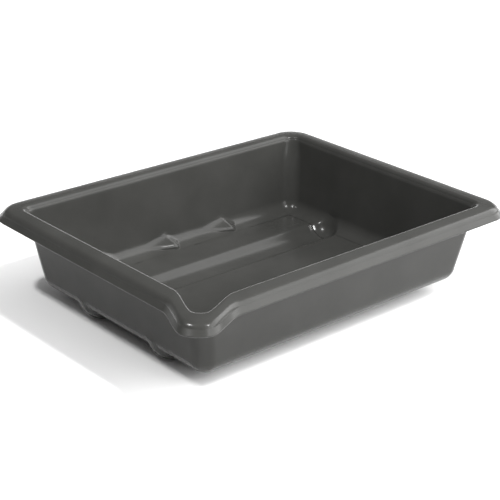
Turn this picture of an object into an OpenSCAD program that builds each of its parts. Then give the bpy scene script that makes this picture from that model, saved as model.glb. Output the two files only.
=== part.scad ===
/* [Tray] */
// Length over the rim, without the pouring lip
tray_l = 249; // [235:1:262]
// Width over the rim, without the pouring lip
tray_w = 196; // [184:1:208]
// Height of the rim above the flat underside of the base
body_h = 52; // [44:1:60]
// Thickness of every moulded wall
wall_t = 1.8; // [1.4:0.1:2.4]
// Slope of the walls away from upright, in degrees
draft = 9.5; // [6:0.5:12]
// Outside radius between base and walls
base_r = 11.5; // [8:0.5:14]
// Plan radius of the upright corners, outside
corner_r = 10.2; // [8:0.2:12]

/* [Rim] */
// Width of the rim from its inner crest to the foot of the skirt
rim_w = 14; // [12:0.5:16]
// Depth of the skirt below the top of the rim
skirt_h = 6.8; // [5:0.2:9]
// How far the skirt flares outwards on its way down
skirt_flare = 2.1; // [1:0.1:3]
// Rounding along the top outer edge of the rim
rim_round = 2.8; // [1:0.1:3]
// Plan radius of the rim's outer corners at the skirt's foot
rim_corner_r = 16.4; // [14:0.2:18]

/* [Pouring lip] */
// How far the corner is pushed out along each side
lip_reach = 10; // [6:0.5:12]
// Length of the curve that leads into the lip
lip_ramp = 16; // [12:1:20]
// Depth of the throat that is scooped into the wall below the lip
throat_h = 13; // [8:1:18]

/* [Drain channels] */
// Depth of each channel, which is also the height of the feet
channel_h = 7; // [5:0.5:9]
// Outside width of each channel
channel_w = 25; // [20:1:28]
// Distance between the centre lines of the two channels
channel_gap = 66; // [56:1:72]
// Length of each channel over its round ends
channel_l = 202; // [190:1:203]
// Width of the flat that each foot stands on
foot_w = 4; // [2:0.5:6]

/* [Lifting teeth] */
// Distance from one tooth to the next
tooth_pitch = 48; // [44:1:50]
// Length of a tooth along the wall, up to its tip
tooth_l = 24; // [18:1:30]
// How far a tooth's tip stands out from the foot of the wall
tooth_out = 8.5; // [8:0.5:11]
// Height above the floor at which a tooth's ridge meets the wall
tooth_h = 9.5; // [6:0.5:12]
// How far the ridge leans to the left on its way up
tooth_lean = 8; // [4:0.5:10]
// Height of the blunt edge at a tooth's tip
tooth_edge = 3; // [1:0.5:4]
// Place of the middle tooth's tip along the wall, from the tray's centre
tooth_tip_x = -3; // [-4:1:4]

/* [Hidden] */

grey = [0.27, 0.27, 0.255];
arc_steps = 5;          // steps in each rounding of a section
corner_steps = 6;       // steps around each plan corner
ramp_steps = 7;         // steps along each side of the pouring lip
smooth_fn = 64;         // facets on full circles
over = 1;               // how far a cutter runs past what it cuts

// Heights above the surface that the feet stand on
base_z = channel_h;
floor_z = base_z + wall_t;
rim_z = base_z + body_h;
under_z = rim_z - wall_t;
round_z = base_z + base_r;

// Half sizes of the opening, measured to the inner crest of the rim.
// Every section gives its offsets d outwards from this crest.
half_l = tray_l / 2 - rim_w;
half_w = tray_w / 2 - rim_w;

// Sloped wall: offsets of its inner and outer faces at height z
slope = tan(draft);
crest_round = 1.2;      // rounding of the wall's inner edge at the crest
crest_in = 1;           // the inner face runs up to this far inside the crest
function inner_d(z) = -crest_in - (rim_z - z) * slope;
function outer_d(z) = inner_d(z) + wall_t / cos(draft);

// The roundings inside and outside the wall's foot share one centre line
round_d = outer_d(round_z) - base_r / cos(draft);
flange_d = outer_d(under_z);            // where the wall hands over to the rim

// Plan radii of the corners
inner_r = corner_r - wall_t;
crest_r = 8;
floor_r = 0.4;

function lerp(a, b, t) = a + (b - a) * t;
function unit(t) = min(1, max(0, t));
function rim_r(d) = lerp(crest_r, rim_corner_r, max(0, d) / rim_w);
function wall_r(r0, d, z) = lerp(r0, rim_r(d), unit((z - round_z) / (under_z - round_z)));

// A section point is [offset d, height z, plan radius of its corners, share of
// the pouring lip's push that it takes]
function throat(z) = let (t = unit(1 - (under_z - z) / throat_h)) t * t * (3 - 2 * t);
function wall_point(d, z, r0) = [d, z, wall_r(r0, d, z), throat(z)];
function round_point(radius, a, r0) =
    let (d = round_d + radius * cos(a), wall_d = round_d + radius * cos(draft))
    [d, round_z + radius * sin(a), max(floor_r, r0 + d - wall_d), 0];
function round_arc(radius, from_a, to_a, r0) =
    [for (i = [0:arc_steps]) round_point(radius, lerp(from_a, to_a, i / arc_steps), r0)];

// Closed section of the wall, from the edge of the flat base up to the rim,
// with one pair of points at each of the given heights
function wall_section(levels) = concat(
    round_arc(base_r, -90, -draft, corner_r),
    [for (z = levels) wall_point(outer_d(z), z, corner_r)],
    [[flange_d, rim_z, rim_r(flange_d), 1]],
    [for (a = [90, (270 - draft) / 2, 180 - draft])
        [inner_d(rim_z) + crest_round * (1 + cos(a)), rim_z - crest_round * (1 - sin(a)), crest_r, 1]],
    [for (i = [len(levels) - 1:-1:0]) let (z = levels[i] - 2 * crest_round)
        wall_point(inner_d(z), z, inner_r)],
    round_arc(base_r - wall_t, -draft, -90, inner_r));
plain_levels = [under_z];
throat_levels = [for (i = [0:4]) under_z - throat_h * (1 - i / 4)];

// Closed section of the rim: flat flange, rounded edge and flared skirt
skirt_z = rim_z - skirt_h;
edge_d = rim_w - skirt_flare;
foot_round = 0.5;
function rim_outline() = concat(
    [[flange_d, under_z], [edge_d - wall_t, under_z], [rim_w - wall_t, skirt_z],
     [rim_w - foot_round, skirt_z], [rim_w, skirt_z + foot_round]],
    [for (a = [15:25:90]) [edge_d - rim_round * (1 - cos(a)), rim_z - rim_round * (1 - sin(a))]],
    [[flange_d, rim_z]]);
function rim_section() = [for (p = rim_outline()) [p[0], p[1], rim_r(p[0]), 1]];

// A plain corner: its stations run from one flat end face round to the other.
// sx and sy say which corner it is.
corner_end = 20;        // distance from the crest's corner to both end faces
function corner_stations(section, sx, sy) = concat(
    [[for (p = section) [sx * (half_l + p[0]), sy * (half_w - corner_end), p[1]]]],
    [for (i = [0:corner_steps]) let (a = 90 * i / corner_steps) [for (p = section)
        [sx * (half_l + p[0] - p[2] * (1 - cos(a))), sy * (half_w + p[0] - p[2] * (1 - sin(a))), p[1]]]],
    [[for (p = section) [sx * (half_l - corner_end), sy * (half_w + p[0]), p[1]]]]);

// The pouring lip: the front left corner pushed outwards along its diagonal.
// The push grows along each side by half a cosine wave.
lip_start = 22;         // distance from the crest's corner where the push begins
lip_end = 32;           // distance from the crest's corner to both end faces
function lip_push(from_corner, d) =
    lip_reach * (1 - cos(180 * unit((lip_start + d / 2 - from_corner) / lip_ramp))) / 2;
function pushed(x, y, p) =
    let (push = p[3] * lip_push(max(half_l + p[0] + x, half_w + p[0] + y), p[0]))
    [x - push, y - push, p[1]];
function left_point(p, t) =
    pushed(-half_l - p[0], lerp(lip_end - half_w, p[2] - half_w - p[0], t), p);
function front_point(p, t) =
    pushed(lerp(lip_end - half_l, p[2] - half_l - p[0], t), -half_w - p[0], p);
function arc_point(p, a) =
    pushed(p[2] * (1 - cos(a)) - half_l - p[0], p[2] * (1 - sin(a)) - half_w - p[0], p);
function lip_stations(section) = concat(
    [for (i = [0:ramp_steps - 1]) [for (p = section) left_point(p, i / ramp_steps)]],
    [for (i = [0:corner_steps]) [for (p = section) arc_point(p, 90 * i / corner_steps)]],
    [for (i = [ramp_steps - 1:-1:0]) [for (p = section) front_point(p, i / ramp_steps)]]);

// The lip makes the outline lopsided, so the tray is moved by half of what the
// lip adds, which puts the origin under the middle of the whole outline
lip_far = max([for (a = [0:90]) -arc_point([rim_w, skirt_z, rim_corner_r, 1], a)[0]]);
centre_shift = (lip_far - tray_l / 2) / 2;
module placed() translate([centre_shift, centre_shift, 0]) color(grey) children();

// Closed body through a row of stations, which are rings with equal and even
// counts. Both halves of a ring run along the wall's two faces, so each end is
// closed by a ladder of quads between them. flip turns the faces over, for
// stations that run the other way round.
function halves(q) = [[q[0], q[1], q[2]], [q[0], q[2], q[3]]];
module loft(stations, flip) {
    n = len(stations[0]);
    last = (len(stations) - 1) * n;
    sides = [for (s = [0:n:last - n], k = [0:n - 1])
        [s + k, s + (k + 1) % n, s + n + (k + 1) % n, s + n + k]];
    first_cap = [for (k = [0:n / 2 - 2]) [k, n - 1 - k, n - 2 - k, k + 1]];
    last_cap = [for (k = [0:n / 2 - 2]) [last + k, last + k + 1, last + n - 2 - k, last + n - 1 - k]];
    faces = [for (q = concat(sides, first_cap, last_cap), t = halves(q)) flip ? [t[2], t[1], t[0]] : t];
    polyhedron([for (s = stations) each s], faces, convexity = 8);
}
module corner(section, sx, sy) loft(corner_stations(section, sx, sy), sx * sy > 0);

// Straight stretches of a section. side is 1 at the back or right, and -1 at
// the front or left.
module flat_section(section, half_size, side)
    mirror([side < 0 ? 1 : 0, 0]) translate([half_size, 0])
        polygon([for (p = section) [p[0], p[1]]]);
module long_side(section, side, from_x, to_x)
    translate([from_x, 0, 0]) rotate([90, 0, 90])
        linear_extrude(to_x - from_x, convexity = 6) flat_section(section, half_w, side);
module short_side(section, side, from_y, to_y)
    translate([0, to_y, 0]) rotate([90, 0, 0])
        linear_extrude(to_y - from_y, convexity = 6) flat_section(section, half_l, side);

// Where the straight stretches end
end_x = half_l - corner_end;
end_y = half_w - corner_end;
lip_x = lip_end - half_l;
lip_y = lip_end - half_w;

// Half-round channel: a circular arc that passes through the edges of the
// foot's flat and through the full width at the level of the base
arc_z = (pow(channel_w / 2, 2) - pow(foot_w / 2, 2) + pow(channel_h, 2)) / (2 * channel_h);
arc_r = norm([foot_w / 2, arc_z]);
trough_r = arc_r - wall_t;
trough_half = sqrt(pow(trough_r, 2) - pow(arc_z - floor_z, 2));
channel_top = arc_z + over;
channel_mid = (channel_l - channel_w) / 2;

// A channel's section between two distances from its centre line, closed at
// channel_top
module channel_section(radius, from_y, to_y) intersection() {
    translate([0, arc_z]) circle(radius, $fn = smooth_fn);
    translate([from_y, 0]) square([to_y - from_y, channel_top]);
}
// Channel along X with round ends, at the side of the tray given by y_dir
module channel_solid(y_dir, radius, half_width) translate([0, y_dir * channel_gap / 2, 0]) {
    translate([-channel_mid, 0, 0]) rotate([90, 0, 90])
        linear_extrude(2 * channel_mid) channel_section(radius, -half_width, half_width);
    for (x = [-channel_mid, channel_mid])
        translate([x, 0, 0])
            rotate_extrude($fn = smooth_fn) channel_section(radius, 0, half_width);
}
module channel_outside(y_dir) channel_solid(y_dir, arc_r, channel_w / 2);
module channel_inside(y_dir) channel_solid(y_dir, trough_r, trough_half);

// Inner face of floor and walls as an open line of points, from a wall's foot
// up to the height above the floor that is asked for
function inner_line(half_size, top) = concat(
    [for (p = round_arc(base_r - wall_t, -90, -draft, 0)) [half_size + p[0], p[1]]],
    [[half_size + inner_d(top), top]]);

// Everything below the inner face of floor and side walls, which trims the
// channels' round ends
module below_inner_face() rotate([90, 0, 0]) linear_extrude(2 * half_w, center = true, convexity = 6)
    for (side = [0, 1]) mirror([side, 0])
        polygon(concat(inner_line(half_l, channel_top), [[half_l, channel_top], [half_l, -over], [0, -over],
            [0, floor_z]]));

// Room in front of the back wall's inner face, which trims the teeth
module inside_back_wall(top) rotate([90, 0, 90]) linear_extrude(2 * half_l, center = true, convexity = 6)
    polygon(concat(inner_line(half_w, top), [[0, top], [0, floor_z]]));

// Floor: strips between the channels and the walls' roundings
module floor_strip(from_y, to_y) translate([0, 0, base_z]) linear_extrude(wall_t) difference() {
    translate([-half_l - round_d, from_y]) square([2 * (half_l + round_d), to_y - from_y]);
    for (y = [-channel_gap / 2, channel_gap / 2], x = [-channel_mid, channel_mid])
        translate([x, y]) circle(channel_w / 2, $fn = smooth_fn);
    for (y = [-channel_gap / 2, channel_gap / 2])
        translate([-channel_mid, y - channel_w / 2]) square([2 * channel_mid, channel_w]);
}
module front_floor() placed() floor_strip(-half_w - round_d, -channel_gap / 2);
module middle_floor() placed() floor_strip(-channel_gap / 2, channel_gap / 2);
module back_floor() placed() floor_strip(channel_gap / 2, half_w + round_d);

// Channels: half-round troughs that hang below the base and serve as feet
module channel(y_dir) difference() {
    intersection() {
        channel_outside(y_dir);
        below_inner_face();
    }
    channel_inside(y_dir);
}
module front_channel() placed() channel(-1);
module back_channel() placed() channel(1);

// Walls, each with the rounding at its foot
module side_wall(side, from_y) difference() {
    short_side(wall_section(plain_levels), side, from_y, end_y);
    channel_outside(-1);
    channel_outside(1);
}
module front_wall() placed() long_side(wall_section(plain_levels), -1, lip_x, end_x);
module back_wall() placed() long_side(wall_section(plain_levels), 1, -end_x, end_x);
module left_wall() placed() side_wall(-1, lip_y);
module right_wall() placed() side_wall(1, -end_y);

// Upright corners between the walls
module pouring_corner() placed() loft(lip_stations(wall_section(throat_levels)), false);
module front_right_corner() placed() corner(wall_section(plain_levels), 1, -1);
module back_right_corner() placed() corner(wall_section(plain_levels), 1, 1);
module back_left_corner() placed() corner(wall_section(plain_levels), -1, 1);

// Rim
module front_rim() placed() long_side(rim_section(), -1, lip_x, end_x);
module back_rim() placed() long_side(rim_section(), 1, -end_x, end_x);
module left_rim() placed() short_side(rim_section(), -1, lip_y, end_y);
module right_rim() placed() short_side(rim_section(), 1, -end_y, end_y);
module pouring_lip() placed() loft(lip_stations(rim_section()), true);
module front_right_rim_corner() placed() corner(rim_section(), 1, -1);
module back_right_rim_corner() placed() corner(rim_section(), 1, 1);
module back_left_rim_corner() placed() corner(rim_section(), -1, 1);

// Lifting teeth: low pyramids along the back wall's foot, where a finger or
// tongs can get under the edge of a print. A ridge leans back from each tip.
tip_round = 0.8;        // plan rounding of a tooth's tip
edge_t = 0.4;           // thickness left along its foot and at the ridge's end
step_l = 7;             // length along the wall of the step behind the tip
module tooth(place) {
    tip_x = tooth_tip_x + place * tooth_pitch;
    foot_y = half_w + inner_d(floor_z);
    intersection() {
        translate([0, 0, floor_z]) hull() {
            translate([tip_x, foot_y - tooth_out + tip_round])
                cylinder(tooth_edge, r = tip_round, $fn = smooth_fn / 4);
            translate([tip_x - tooth_l, foot_y]) cube([tooth_l + step_l, edge_t, edge_t]);
            translate([tip_x - tooth_lean - edge_t / 2, foot_y + tooth_h * slope - edge_t, tooth_h - edge_t])
                cube([edge_t, 2 * edge_t, edge_t]);
        }
        inside_back_wall(floor_z + tooth_h + over);
    }
}
module left_tooth() placed() tooth(-1);
module middle_tooth() placed() tooth(0);
module right_tooth() placed() tooth(1);

front_floor();
middle_floor();
back_floor();
front_channel();
back_channel();
front_wall();
back_wall();
left_wall();
right_wall();
pouring_corner();
front_right_corner();
back_right_corner();
back_left_corner();
front_rim();
back_rim();
left_rim();
right_rim();
pouring_lip();
front_right_rim_corner();
back_right_rim_corner();
back_left_rim_corner();
left_tooth();
middle_tooth();
right_tooth();
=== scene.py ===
"""Developing tray: one dark grey satin moulding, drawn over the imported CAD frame.

All shapes are worked out in millimetres around the tray's own centre, as in the
CAD model, and put in place from the CAD nodes' boxes.
"""
import math

import bpy
import numpy as np
from mathutils import Matrix, Vector


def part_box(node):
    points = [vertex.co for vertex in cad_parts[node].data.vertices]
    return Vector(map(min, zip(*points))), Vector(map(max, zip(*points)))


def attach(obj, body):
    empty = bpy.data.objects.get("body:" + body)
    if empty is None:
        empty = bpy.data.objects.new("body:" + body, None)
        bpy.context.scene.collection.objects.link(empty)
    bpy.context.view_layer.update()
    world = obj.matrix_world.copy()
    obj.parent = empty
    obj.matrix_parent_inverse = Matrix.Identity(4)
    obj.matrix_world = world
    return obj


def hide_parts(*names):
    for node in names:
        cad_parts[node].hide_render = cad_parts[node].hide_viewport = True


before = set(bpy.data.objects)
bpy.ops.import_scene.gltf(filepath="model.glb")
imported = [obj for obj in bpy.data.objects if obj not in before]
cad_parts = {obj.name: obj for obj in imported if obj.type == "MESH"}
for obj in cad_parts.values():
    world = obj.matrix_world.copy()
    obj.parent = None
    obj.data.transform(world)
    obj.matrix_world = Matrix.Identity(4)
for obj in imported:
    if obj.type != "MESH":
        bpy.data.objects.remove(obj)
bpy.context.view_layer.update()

MM = 0.001

# ---- sizes of the moulding, in mm ------------------------------------------------
WALL = 1.8
DRAFT = math.radians(9.5)
OUTER_ROUND = 11.5              # rounding between base and walls, outside
CORNER_R = 10.2                 # plan radius of the upright corners, outside
RIM_W = 14.0
SKIRT_H = 6.8
SKIRT_FLARE = 2.1               # how far the skirt leans outwards
RIM_ROUND = 4.8                 # rounding of the rim's shoulder
CROWN_DROP = 0.3                # how far the rim's top falls from crest to shoulder
CREST_R = 8.0                   # plan radius of the opening at the crest
RIM_CORNER_R = 16.4             # plan radius at the skirt's foot
CREST_ROUND = 3.0               # rounding from the wall's inner face into the rim's top
CREST_IN = 1.0                  # how far inside the crest's line the inner face would meet the rim's top
FOOT_ROUND = 0.7                # rounding of the skirt's lower edge
WEB_ROUND = 1.2                 # small roundings under the rim
LIP_REACH = 10.0                # how far the lip is pushed out, to the left and to the front alike
LIP_RAMP = 18.0                 # length of the curve that leads into the lip
LIP_START = 22.0                # distance from the corner where the push begins, at the crest
LIP_END = 32.0                  # where the pouring corner's pieces end
CORNER_END = 20.0               # where the plain corners' pieces end
THROAT_H = 13.0                 # height below the rim over which the wall bends out to the lip
FOOT_W = 4.0                    # width of the flat under each channel
TOOTH_PITCH = 48.0
TOOTH_L = 24.0                  # length along the wall from a tooth's left end to its tip
TOOTH_STEP = 7.0                # and from its tip to its right end
TOOTH_OUT = 8.0                 # how far a tooth stands out, before its ridge is softened
TOOTH_H = 8.0                   # height above the floor at which the ridge meets the wall
TOOTH_EDGE = 2.4                # height of the blunt edge along a tooth's front
TOOTH_LEAN = 0.6                # how far the ridge leans to the left, per unit of height
TOOTH_TIP_X = -3.0              # place of the middle tooth's tip along the wall
TOOTH_MIDDLE = TOOTH_L / 3      # from a tooth's tip back to about its middle
TEETH = {"left_tooth": -1, "middle_tooth": 0, "right_tooth": 1}

# ---- places, taken from the CAD nodes' boxes ---------------------------------------


def box_mm(node):
    """Lowest and highest corner of a CAD node, in mm."""
    lo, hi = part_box(node)
    return np.array(lo) / MM, np.array(hi) / MM


front_lo, front_hi = box_mm("front_channel")
back_lo, back_hi = box_mm("back_channel")
CENTRE = np.array([(front_lo[0] + front_hi[0]) / 2, (front_lo[1] + back_hi[1]) / 2, 0.0])
CHANNEL_Y = (back_lo[1] + back_hi[1] - front_lo[1] - front_hi[1]) / 4
CHANNEL_W = front_hi[1] - front_lo[1]
CHANNEL_MID = (front_hi[0] - front_lo[0] - CHANNEL_W) / 2
BASE_Z = box_mm("middle_floor")[0][2]
FLOOR_Z = BASE_Z + WALL
RIM_Z = box_mm("back_rim")[1][2]
UNDER_Z = RIM_Z - WALL
ROUND_Z = BASE_Z + OUTER_ROUND
HALF_L = box_mm("right_rim")[1][0] - CENTRE[0] - RIM_W
HALF_W = box_mm("back_rim")[1][1] - CENTRE[1] - RIM_W
INNER_ROUND = OUTER_ROUND - WALL
INNER_CORNER_R = 10.0           # plan radius of the upright corners, inside


def inner_d(z):
    """Offset of the wall's inner face from the crest."""
    return -CREST_IN - (RIM_Z - z) * math.tan(DRAFT)


def outer_d(z):
    """Offset of the wall's outer face from the crest."""
    return inner_d(z) + WALL / math.cos(DRAFT)


ROUND_D = outer_d(ROUND_Z) - OUTER_ROUND / math.cos(DRAFT)
FLANGE_D = outer_d(UNDER_Z)


def smooth(t):
    t = min(1.0, max(0.0, t))
    return t * t * (3 - 2 * t)


def lerp(a, b, t):
    return a + (b - a) * t


# ---- section: points of (offset, height, plan radius, share of the lip's push) -----


def rim_radius(d):
    """Plan radius of the rim's corners, at an offset from the crest."""
    return lerp(CREST_R, RIM_CORNER_R, max(0.0, d) / RIM_W)


def throat(z):
    """Share of the lip's push at a height: all under the rim, none below the throat."""
    return smooth(1 - (UNDER_Z - z) / THROAT_H)


def foot_arc(radius, corner, steps):
    """Rounding between the flat base and a wall, from the base up."""
    wall_d = ROUND_D + radius * math.cos(DRAFT)
    points = []
    for i in range(steps + 1):
        a = lerp(-math.pi / 2, -DRAFT, i / steps)
        d = ROUND_D + radius * math.cos(a)
        points.append((d, ROUND_Z + radius * math.sin(a), max(0.0, corner + d - wall_d), 0.0))
    return points


def wall_line(offset, corner, low, high, steps):
    """Straight slope of a wall, without its lowest point."""
    points = []
    for i in range(1, steps + 1):
        z = lerp(low, high, i / steps)
        d = offset(z)
        radius = lerp(corner, rim_radius(d), smooth((z - high + THROAT_H) / THROAT_H))
        points.append((d, z, radius, throat(z)))
    return points


def rounding(d, z, radius, start, end, steps):
    """Arc around (d, z), with angles in degrees."""
    points = []
    for i in range(steps + 1):
        a = math.radians(lerp(start, end, i / steps))
        p = d + radius * math.cos(a)
        points.append((p, z + radius * math.sin(a), rim_radius(p), 1.0))
    return points


FLAT_STRIP = 0.5                # width of floor that belongs to the walls' sections
FOOT_STEPS = 24
WALL_STEPS = 22
CREST_STEPS = 12
CROWN_STEPS = 9
SHOULDER_STEPS = 12
EDGE_STEPS = 6
INNER_EDGE_STEPS = 3
WEB_STEPS = 4
SKIRT_ANGLE = 20                # where the roundings next to the skirt start or stop, in degrees
SKIRT_EDGE_ROUND = 0.3          # inner rounding of the skirt's lower edge
SHOULDER_OUT = 0.5              # how far the shoulder's rounding is moved outwards
CREST_GAP = 0.2                 # the inner face's slope stops this far below the crest's rounding
WEB_GAP = 0.3                   # and the outer face's this far below the rounding under the rim


def make_section():
    """Section from the floor's edge, up over the rim and down to the base's edge.

    Returns the points and, for each stretch between two points, its feature.
    """
    inside = [(ROUND_D - FLAT_STRIP, FLOOR_Z, 0.0, 0.0)]
    inside += foot_arc(INNER_ROUND, INNER_CORNER_R, FOOT_STEPS)
    crest_z = RIM_Z - CREST_ROUND * (1 - math.sin(DRAFT))
    inside += wall_line(inner_d, INNER_CORNER_R, inside[-1][1], crest_z - CREST_GAP, WALL_STEPS)
    crest_d = inner_d(RIM_Z) + CREST_ROUND / math.cos(DRAFT)
    inside += rounding(crest_d, RIM_Z - CREST_ROUND, CREST_ROUND,
                       180 - math.degrees(DRAFT), 90, CREST_STEPS)

    edge_d = RIM_W - SKIRT_FLARE
    skirt_z = RIM_Z - SKIRT_H
    shoulder_d = edge_d - RIM_ROUND + SHOULDER_OUT
    tilt = math.degrees(math.atan2(2 * CROWN_DROP, shoulder_d))
    rim = []
    for i in range(1, CROWN_STEPS):
        t = i / CROWN_STEPS
        d = lerp(crest_d, shoulder_d, t)
        rim.append((d, RIM_Z - CROWN_DROP * t * t, rim_radius(d), 1.0))
    rim += rounding(shoulder_d - RIM_ROUND * math.sin(math.radians(tilt)),
                    RIM_Z - CROWN_DROP - RIM_ROUND * math.cos(math.radians(tilt)),
                    RIM_ROUND, 90 - tilt, SKIRT_ANGLE, SHOULDER_STEPS)
    rim += rounding(RIM_W - FOOT_ROUND, skirt_z + FOOT_ROUND, FOOT_ROUND, SKIRT_ANGLE, -90, EDGE_STEPS)
    rim += rounding(RIM_W - WALL + SKIRT_EDGE_ROUND, skirt_z + SKIRT_EDGE_ROUND,
                    SKIRT_EDGE_ROUND, -90, -180 + SKIRT_ANGLE, INNER_EDGE_STEPS)
    web_d = edge_d - WALL - WEB_ROUND
    web_z = UNDER_Z - WEB_ROUND
    rim += rounding(web_d, web_z, WEB_ROUND, SKIRT_ANGLE, 90, WEB_STEPS)
    for i in range(1, WEB_STEPS):
        d = lerp(web_d, FLANGE_D + WEB_ROUND, i / WEB_STEPS)
        rim.append((d, UNDER_Z, rim_radius(d), 1.0))

    outside = rounding(outer_d(web_z) + WEB_ROUND, web_z, WEB_ROUND, 90, 180, WEB_STEPS)
    low = foot_arc(OUTER_ROUND, CORNER_R, FOOT_STEPS)
    down = wall_line(outer_d, CORNER_R, low[-1][1], web_z - WEB_GAP, WALL_STEPS)
    outside += down[::-1] + low[::-1] + [(ROUND_D - FLAT_STRIP, BASE_Z, 0.0, 0.0)]

    points = inside + rim + outside
    features = ["wall"] * (len(inside) - 1) + ["rim"] * (len(rim) + 1)
    features += ["wall"] * (len(outside) - 1)
    return points, features


# ---- channels ------------------------------------------------------------------------
ARC_Z = ((CHANNEL_W / 2) ** 2 - (FOOT_W / 2) ** 2 + BASE_Z ** 2) / (2 * BASE_Z)
ARC_R = math.hypot(FOOT_W / 2, ARC_Z)
TROUGH_R = ARC_R - WALL
STEEP = 0.93                    # share of the radius past which a channel's side runs straight
INNER_BLEND = 3.0               # softness of a channel's edge in the floor
OUTER_BLEND = 1.0               # and in the base
CHANNEL_REACH = 18.0            # only points this near a channel's centre line are pressed down
CHANNEL_RISE = 10.0             # and only those less than this above the base
CHANNEL_TOP = 7.0               # only faces less than this above the base can be a channel's


def from_spine(x, y):
    """Distance from the nearer channel's centre line."""
    along = np.maximum(0.0, np.abs(x) - CHANNEL_MID)
    return np.hypot(along, np.abs(np.abs(y) - CHANNEL_Y))


def channel_z(rho, radius):
    """Height of a round-bottomed channel at a distance from its centre line."""
    near = np.minimum(rho, STEEP * radius)
    z = ARC_Z - np.sqrt(radius ** 2 - near ** 2)
    slope = STEEP / math.sqrt(1 - STEEP ** 2)
    return z + (rho - near) * slope


def spread(low, high, step):
    """Evenly spaced values from low to high, about a step apart."""
    return list(np.linspace(low, high, max(2, int(round((high - low) / step)) + 1)))


def soft_min(a, b, width):
    """The smaller of two values, rounded off where they differ by less than width."""
    h = np.clip(width - np.abs(a - b), 0.0, None) / width
    return np.minimum(a, b) - h * h * width / 4


def sunk(points, inner):
    """Points of the floor (inner) or the base, pressed down into the channels."""
    x, y, z = points[..., 0], points[..., 1], points[..., 2]
    rho = from_spine(x, y)
    if inner:
        deep = soft_min(z, channel_z(rho, TROUGH_R), INNER_BLEND)
    else:
        deep = np.maximum(0.0, soft_min(z, channel_z(rho, ARC_R), OUTER_BLEND))
    out = points.copy()
    out[..., 2] = np.where((z < BASE_Z + CHANNEL_RISE) & (rho < CHANNEL_REACH), deep, z)
    return out


# ---- lifting teeth ---------------------------------------------------------------------
FOOT_D = inner_d(FLOOR_Z)
EDGE_SLOPE = 0.3                # backward lean of the blunt edge, per unit of height
TOP_SLOPE = ((TOOTH_OUT + math.tan(DRAFT) * TOOTH_H - EDGE_SLOPE * TOOTH_EDGE)
             / (TOOTH_H - TOOTH_EDGE))
TOOTH_BLEND = 3.2               # soft join between a tooth and the wall, above the blunt edge
EDGE_BLEND = 1.6                # rounding where the blunt edge turns into the top
RIDGE_BLEND = 0.3               # softness of the ridge, as a share of a tooth's reach
BLEND_LEAST = 0.15              # share of the soft join that is left at the floor
BLEND_LATE = 0.5                # its share is the height in blunt edges, less this
FLOOR_SKIN = 0.02               # points lower than this above the floor stay in place
TOOTH_LINE_STEP = 0.45          # spacing of the mesh along a tooth
LINES_BEFORE = 2                # how far that mesh starts before a tooth
LINES_AFTER = 1                 # and goes on past it
TOOTH_SKIN = 0.1                # a face with a point moved further than this is a tooth's


def tooth_reach(x, z):
    """How far the teeth stand out from the wall's foot, at a place along it."""
    along = x + TOOTH_LEAN * (z - FLOOR_Z) - TOOTH_TIP_X
    along = along - TOOTH_PITCH * np.clip(np.round((along + TOOTH_MIDDLE) / TOOTH_PITCH), -1, 1)
    return TOOTH_OUT * soft_min(1 + along / TOOTH_L, 1 - along / TOOTH_STEP, RIDGE_BLEND)


def with_teeth(grid):
    """Inner face of the back wall with its teeth, and how far each point moved."""
    d = grid[..., 1] - HALF_W
    up = grid[..., 2] - FLOOR_Z
    edge = EDGE_SLOPE * up
    top = EDGE_SLOPE * TOOTH_EDGE + TOP_SLOPE * (up - TOOTH_EDGE)
    tooth_d = FOOT_D - tooth_reach(grid[..., 0], grid[..., 2]) - soft_min(-edge, -top, EDGE_BLEND)
    blend = TOOTH_BLEND * np.clip(up / TOOTH_EDGE - BLEND_LATE, BLEND_LEAST, 1.0)
    moved = np.where(up > FLOOR_SKIN, d - soft_min(d, tooth_d, blend), 0.0)
    out = grid.copy()
    out[..., 1] -= moved
    return out, moved


def tooth_lines():
    """Lines along the back wall that follow each tooth closely, and a little past its ends."""
    lines = []
    for place in TEETH.values():
        tip_x = TOOTH_TIP_X + place * TOOTH_PITCH
        start, stop = tip_x - TOOTH_L - LINES_BEFORE, tip_x + TOOTH_STEP + LINES_AFTER
        lines += spread(start, stop, TOOTH_LINE_STEP)
    return lines


def nearest_tooth(x):
    """Name of the tooth that a place along the wall belongs to."""
    place = round((x + TOOTH_MIDDLE - TOOTH_TIP_X) / TOOTH_PITCH)
    return next(name for name, at in TEETH.items() if at == max(-1, min(1, place)))


# ---- stations around the tray ------------------------------------------------------------
CORNER_STEPS = 20
RAMP_STEPS = 30
FINE_STEP = 0.7                 # spacing of the floor's grid across the channels and at their ends
COARSE_STEP = 12                # and along their straight stretches
EDGE_MARGIN = 4                 # how far the fine grid runs on past a channel's edges
SLACK = 1e-4                    # allowance when places along a side are compared
RIM_SLACK = 0.01                # allowance when the section's outermost point is looked for
END_X = HALF_L - CORNER_END
END_Y = HALF_W - CORNER_END
LIP_X = LIP_END - HALF_L
LIP_Y = LIP_END - HALF_W
FLOOR_X = HALF_L + ROUND_D - FLAT_STRIP
FLOOR_Y = HALF_W + ROUND_D - FLAT_STRIP


def grid_lines():
    """Lines of the floor's grid: close together at the channels' edges and ends."""
    reach = CHANNEL_W / 2 + EDGE_MARGIN
    straight = CHANNEL_MID - EDGE_MARGIN
    xs = [-END_X, LIP_X, *spread(-straight, straight, COARSE_STEP), END_X]
    xs += spread(straight, FLOOR_X, FINE_STEP) + spread(-FLOOR_X, -straight, FINE_STEP)
    ys = [-FLOOR_Y, -END_Y, LIP_Y, 0.0, END_Y, FLOOR_Y]
    for side in (-1, 1):
        ys += spread(side * CHANNEL_Y - reach, side * CHANNEL_Y + reach, FINE_STEP)
    return (np.unique(np.round(xs, 5)), np.unique(np.round(ys, 5)))


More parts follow.
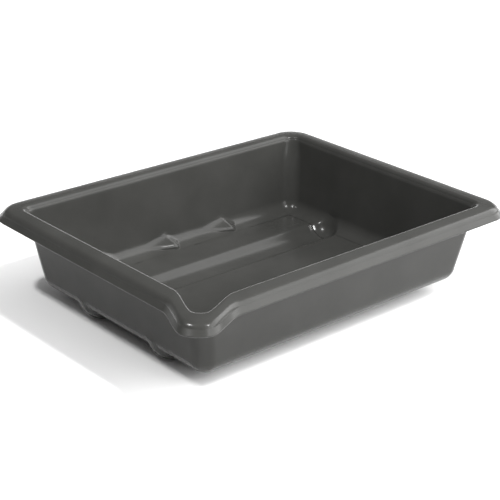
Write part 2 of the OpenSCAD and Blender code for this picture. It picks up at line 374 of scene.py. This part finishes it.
def corner_point(p, sx, sy, a):
    """Place of a section's point, at an angle round a corner."""
    d, z, r, _ = p
    return (sx * (HALF_L + d - r * (1 - math.cos(a))), sy * (HALF_W + d - r * (1 - math.sin(a))), z)


def lip_push(from_corner, d):
    """How far the lip pushes a point at offset d, this far from the corner."""
    t = min(1.0, max(0.0, (LIP_START + d / 2 - from_corner) / LIP_RAMP))
    return LIP_REACH * (1 - math.cos(math.pi * t)) / 2


def pushed(x, y, p):
    """Place of a section's point once the lip has pushed it."""
    d, z, _, share = p
    push = share * lip_push(max(HALF_L + d + x, HALF_W + d + y), d)
    return (x - push, y - push, z)


def plain_corner(section, sx, sy):
    """Stations of a plain corner, from its short side's end to its long side's."""
    rows = [[(sx * (HALF_L + p[0]), sy * END_Y, p[1]) for p in section]]
    for i in range(CORNER_STEPS + 1):
        a = math.pi / 2 * i / CORNER_STEPS
        rows.append([corner_point(p, sx, sy, a) for p in section])
    rows.append([(sx * END_X, sy * (HALF_W + p[0]), p[1]) for p in section])
    return rows


def pouring_corner(section):
    """Stations of the pouring corner, from the left side to the front."""
    rows = []
    for i in range(RAMP_STEPS):
        t = i / RAMP_STEPS
        rows.append([pushed(-HALF_L - p[0], lerp(LIP_Y, p[2] - HALF_W - p[0], t), p) for p in section])
    for i in range(CORNER_STEPS + 1):
        a = math.pi / 2 * i / CORNER_STEPS
        rows.append([pushed(*corner_point(p, -1, -1, a)[:2], p) for p in section])
    for i in range(RAMP_STEPS - 1, -1, -1):
        t = i / RAMP_STEPS
        rows.append([pushed(lerp(LIP_X, p[2] - HALF_L - p[0], t), -HALF_W - p[0], p) for p in section])
    return rows


def long_side(section, sy, xs):
    return [[(x, sy * (HALF_W + p[0]), p[1]) for p in section] for x in xs]


def short_side(section, sx, ys):
    return [[(sx * (HALF_L + p[0]), y, p[1]) for p in section] for y in ys]


# ---- one continuous shell, split into pieces ------------------------------------------------


class Shell:
    """Faces gathered grid by grid, each with the name of the piece it belongs to."""

    def __init__(self):
        self.points, self.faces, self.owners = [], [], []
        self.count = 0

    def add(self, grid, flip, owner):
        """Adds a grid of points. owner(i, j, centre) names a face's piece."""
        grid = np.asarray(grid, float)
        rows, cols = grid.shape[:2]
        centre = (grid[1:, 1:] + grid[:-1, :-1] + grid[1:, :-1] + grid[:-1, 1:]) / 4
        for i in range(rows - 1):
            for j in range(cols - 1):
                a = self.count + i * cols + j
                face = (a, a + cols, a + cols + 1, a + 1)
                self.faces.append(face[::-1] if flip else face)
                self.owners.append(owner(i, j, centre[i, j]))
        self.points.append(grid.reshape(-1, 3))
        self.count += rows * cols

    def weld(self):
        """Merges points that coincide and works out one normal for each."""
        points = np.concatenate(self.points)
        _, first, index = np.unique(np.round(points, 3), axis=0, return_index=True, return_inverse=True)
        index = index.reshape(-1)
        points = points[first]
        faces = index[np.array(self.faces)]
        corner = points[faces]
        face_normal = np.cross(corner[:, 2] - corner[:, 0], corner[:, 3] - corner[:, 1])
        normals = np.zeros_like(points)
        for k in range(4):
            np.add.at(normals, faces[:, k], face_normal)
        length = np.linalg.norm(normals, axis=1, keepdims=True)
        normals = normals / np.where(length > 0, length, 1)
        return points, faces, normals


def channel_or(name):
    """Owner that gives a face near a channel to that channel, and others to name."""
    def owner(i, j, centre):
        if centre[2] < BASE_Z + CHANNEL_TOP and from_spine(centre[0], centre[1]) < CHANNEL_W / 2:
            return "front_channel" if centre[1] < 0 else "back_channel"
        return name
    return owner


def floor_owner(i, j, centre):
    """Names the floor strip or channel that a face of the floor belongs to."""
    if centre[1] < -CHANNEL_Y:
        strip = "front_floor"
    elif centre[1] < CHANNEL_Y:
        strip = "middle_floor"
    else:
        strip = "back_floor"
    return channel_or(strip)(i, j, centre)


def build_shell():
    section, features = make_section()
    xs, ys = grid_lines()
    shell = Shell()
    half = next(i for i, p in enumerate(section) if p[0] > RIM_W - RIM_SLACK)

    def add_side(rows, wall, rim, flip):
        grid = np.array(rows)
        inner, outer = sunk(grid[:, :half], True), sunk(grid[:, half:], False)
        tooth_depth = np.zeros(inner.shape[:2])
        if wall == "back_wall":
            inner, tooth_depth = with_teeth(inner)
        near_channel = channel_or(wall)

        def owner(i, j, centre):
            if features[j] == "rim":
                return rim
            if j < half - 1 and tooth_depth[i:i + 2, j:j + 2].max() > TOOTH_SKIN:
                return nearest_tooth(centre[0])
            return near_channel(i, j, centre)
        shell.add(np.concatenate([inner, outer], axis=1), flip, owner)

    front_x = [x for x in xs if LIP_X - SLACK <= x <= END_X + SLACK]
    back_x = np.unique(np.round([x for x in xs if abs(x) <= END_X + SLACK] + tooth_lines(), 5))
    left_y = [y for y in ys if LIP_Y - SLACK <= y <= END_Y + SLACK]
    right_y = [y for y in ys if abs(y) <= END_Y + SLACK]
    add_side(long_side(section, -1, front_x), "front_wall", "front_rim", False)
    add_side(long_side(section, 1, back_x), "back_wall", "back_rim", True)
    add_side(short_side(section, -1, left_y), "left_wall", "left_rim", True)
    add_side(short_side(section, 1, right_y), "right_wall", "right_rim", False)
    add_side(plain_corner(section, 1, -1), "front_right_corner", "front_right_rim_corner", True)
    add_side(plain_corner(section, 1, 1), "back_right_corner", "back_right_rim_corner", False)
    add_side(plain_corner(section, -1, 1), "back_left_corner", "back_left_rim_corner", True)
    add_side(pouring_corner(section), "pouring_corner", "pouring_lip", False)

    for inner, z in ((True, FLOOR_Z), (False, BASE_Z)):
        grid = np.stack(np.meshgrid(xs, ys, [z], indexing="ij"), axis=-1)[:, :, 0]
        shell.add(sunk(grid, inner), not inner, floor_owner)
    return shell


# ---- material --------------------------------------------------------------------------


def tray_material():
    """Dark grey satin plastic: very fine moulded texture, faint flow waves, wipe marks."""
    material = bpy.data.materials.new("tray_plastic_satin")
    material.use_nodes = True
    nodes, links = material.node_tree.nodes, material.node_tree.links
    shader = nodes["Principled BSDF"]
    shader.inputs["IOR"].default_value = 1.49
    shader.inputs["Specular IOR Level"].default_value = 0.16
    where = nodes.new("ShaderNodeTexCoord").outputs["Object"]

    def noise(scale, detail, stretch=(1, 1, 1)):
        mapping = nodes.new("ShaderNodeMapping")
        mapping.inputs["Scale"].default_value = stretch
        links.new(where, mapping.inputs["Vector"])
        node = nodes.new("ShaderNodeTexNoise")
        node.inputs["Scale"].default_value = scale
        node.inputs["Detail"].default_value = detail
        links.new(mapping.outputs["Vector"], node.inputs["Vector"])
        return node.outputs["Fac"]

    def ramp(value, low, high, low_out, high_out):
        node = nodes.new("ShaderNodeMapRange")
        node.inputs["From Min"].default_value = low
        node.inputs["From Max"].default_value = high
        node.inputs["To Min"].default_value = low_out
        node.inputs["To Max"].default_value = high_out
        links.new(value, node.inputs["Value"])
        return node.outputs["Result"]

    # colour: slow mottling of the pigment with a fine grain over it
    tone = nodes.new("ShaderNodeMix")
    tone.data_type = "RGBA"
    tone.inputs["A"].default_value = (0.031, 0.031, 0.0292, 1)
    tone.inputs["B"].default_value = (0.038, 0.038, 0.0358, 1)
    links.new(ramp(noise(35, 6), 0.3, 0.7, 0.0, 1.0), tone.inputs["Factor"])
    links.new(tone.outputs["Result"], shader.inputs["Base Color"])

    # roughness: patches rubbed glossier and finer wipe marks that run along the tray
    patches = ramp(noise(18, 3), 0.35, 0.65, 0.17, 0.22)
    wipes = ramp(noise(300, 3, (0.3, 1, 1)), 0.3, 0.7, 0.0, 0.012)
    total = nodes.new("ShaderNodeMath")
    total.operation = "ADD"
    links.new(patches, total.inputs[0])
    links.new(wipes, total.inputs[1])
    links.new(total.outputs["Value"], shader.inputs["Roughness"])

    # surface: fine moulded texture over slow waves in the skin
    waves = nodes.new("ShaderNodeBump")
    waves.inputs["Strength"].default_value = 0.25
    waves.inputs["Distance"].default_value = 0.0008
    links.new(noise(22, 1), waves.inputs["Height"])
    grain = nodes.new("ShaderNodeBump")
    grain.inputs["Strength"].default_value = 0.12
    grain.inputs["Distance"].default_value = 0.00008
    links.new(noise(1400, 3), grain.inputs["Height"])
    links.new(waves.outputs["Normal"], grain.inputs["Normal"])
    links.new(grain.outputs["Normal"], shader.inputs["Normal"])
    return material


def make_piece(name, points, faces, normals, material):
    """One smooth piece from its share of the shell's faces."""
    used, index = np.unique(faces, return_inverse=True)
    index = index.reshape(faces.shape)
    rings = [list(dict.fromkeys(face)) for face in index.tolist()]
    rings = [ring for ring in rings if len(ring) > 2]
    mesh = bpy.data.meshes.new(name)
    mesh.from_pydata(((points[used] + CENTRE) * MM).tolist(), [], rings)
    mesh.shade_smooth()
    mesh.normals_split_custom_set_from_vertices(normals[used].tolist())
    mesh.materials.append(material)
    piece = bpy.data.objects.new(name, mesh)
    bpy.context.collection.objects.link(piece)
    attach(piece, "root")
    return piece


def make_tray():
    material = tray_material()
    shell = build_shell()
    points, faces, normals = shell.weld()
    owners = np.array(shell.owners)
    for name in sorted(set(shell.owners)):
        piece = make_piece("tray_" + name, points, faces[owners == name], normals, material)
        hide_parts(name)


# ---- studio ----------------------------------------------------------------------------
# The camera, matched to the photo: places in metres, lens in millimetres
AZIMUTH = math.radians(-41.993)
ELEVATION = math.radians(23.345)
ROLL = math.radians(1.270)
TARGET = Vector((0.0, 0.002, 0.032))
DISTANCE = 0.8304
LENS = 99.14

# The surroundings
HORIZON_LIGHT = 0.75            # the studio's pale walls, low all round
SKY_LIGHT = 0.07                # its darker ceiling
FLOOR_HALF = 6.0                # half the width of the studio's floor, in metres
FLOOR_COLOUR = (0.85, 0.85, 0.85, 1)

# Each light: degrees round from the camera, degrees up, distance and size in metres, watts
LIGHTS = {
    "front_panel": (88, 34, 1.9, (4.2, 1.5), 120),
    "side_panel": (152, 42, 1.6, (1.4, 0.9), 1.5),
    "left_panel": (-50, 58, 1.4, (0.8, 0.8), 2),
    "overhead_panel": (0, 88, 2.2, (3.0, 3.0), 4),
    "back_strip": (180, 4, 3.0, (5.0, 0.4), 20),
    "softbox_right": (50, 60, 1.2, (0.09, 0.09), 11),
    "softbox_left": (-50, 60, 1.2, (0.09, 0.09), 8),
}


def direction(azimuth, elevation):
    """Unit vector from the object towards a place round it, in radians."""
    return Vector((math.sin(azimuth) * math.cos(elevation),
                   -math.cos(azimuth) * math.cos(elevation), math.sin(elevation)))


def make_camera():
    data = bpy.data.cameras.new("photo_camera")
    data.lens = LENS
    data.sensor_width = 36
    data.clip_start, data.clip_end = 0.01, 20
    camera = bpy.data.objects.new("photo_camera", data)
    bpy.context.collection.objects.link(camera)
    back = direction(AZIMUTH, ELEVATION)
    right = Vector((0, 0, 1)).cross(back).normalized()
    up = back.cross(right)
    tilted = math.cos(ROLL) * right + math.sin(ROLL) * up
    axes = Matrix((tilted, back.cross(tilted), back)).transposed()
    camera.matrix_world = Matrix.Translation(TARGET + back * DISTANCE) @ axes.to_4x4()
    bpy.context.scene.camera = camera


def make_light(name, from_camera, elevation, distance, size, power):
    """Soft box that faces the tray."""
    data = bpy.data.lights.new(name, "AREA")
    data.shape = "RECTANGLE"
    data.size, data.size_y = size
    data.energy = power
    light = bpy.data.objects.new(name, data)
    bpy.context.collection.objects.link(light)
    back = direction(AZIMUTH + math.radians(from_camera), math.radians(elevation))
    light.location = back * distance
    light.rotation_euler = back.to_track_quat("Z", "Y").to_euler()


def make_floor():
    """Plain pale floor without gloss."""
    half = FLOOR_HALF
    mesh = bpy.data.meshes.new("studio_floor")
    corners = [(-half, -half, 0), (half, -half, 0), (half, half, 0), (-half, half, 0)]
    mesh.from_pydata(corners, [], [(0, 1, 2, 3)])
    material = bpy.data.materials.new("studio_floor_matte")
    material.use_nodes = True
    shader = material.node_tree.nodes["Principled BSDF"]
    shader.inputs["Base Color"].default_value = FLOOR_COLOUR
    shader.inputs["Roughness"].default_value = 0.9
    shader.inputs["Specular IOR Level"].default_value = 0.0
    mesh.materials.append(material)
    floor = bpy.data.objects.new("studio_floor", mesh)
    bpy.context.collection.objects.link(floor)


def make_world():
    """White surroundings, bright at the horizon and below, and dim overhead."""
    world = bpy.data.worlds.new("studio_world")
    bpy.context.scene.world = world
    world.use_nodes = True
    nodes, links = world.node_tree.nodes, world.node_tree.links
    height = nodes.new("ShaderNodeSeparateXYZ")
    links.new(nodes.new("ShaderNodeTexCoord").outputs["Generated"], height.inputs["Vector"])
    glow = nodes.new("ShaderNodeMapRange")
    glow.interpolation_type = "SMOOTHSTEP"
    glow.inputs["From Min"].default_value = 0.10
    glow.inputs["From Max"].default_value = 0.34
    glow.inputs["To Min"].default_value = HORIZON_LIGHT
    glow.inputs["To Max"].default_value = SKY_LIGHT
    links.new(height.outputs["Z"], glow.inputs["Value"])
    links.new(glow.outputs["Result"], nodes["Background"].inputs["Strength"])
    nodes["Background"].inputs["Color"].default_value = (1, 1, 1, 1)


def make_studio():
    make_floor()
    for name, (from_camera, elevation, distance, size, power) in LIGHTS.items():
        make_light(name, from_camera, elevation, distance, size, power)
    make_world()
    bpy.context.scene.view_settings.view_transform = "Standard"


make_tray()
make_camera()
make_studio()

bpy.context.view_layer.update()
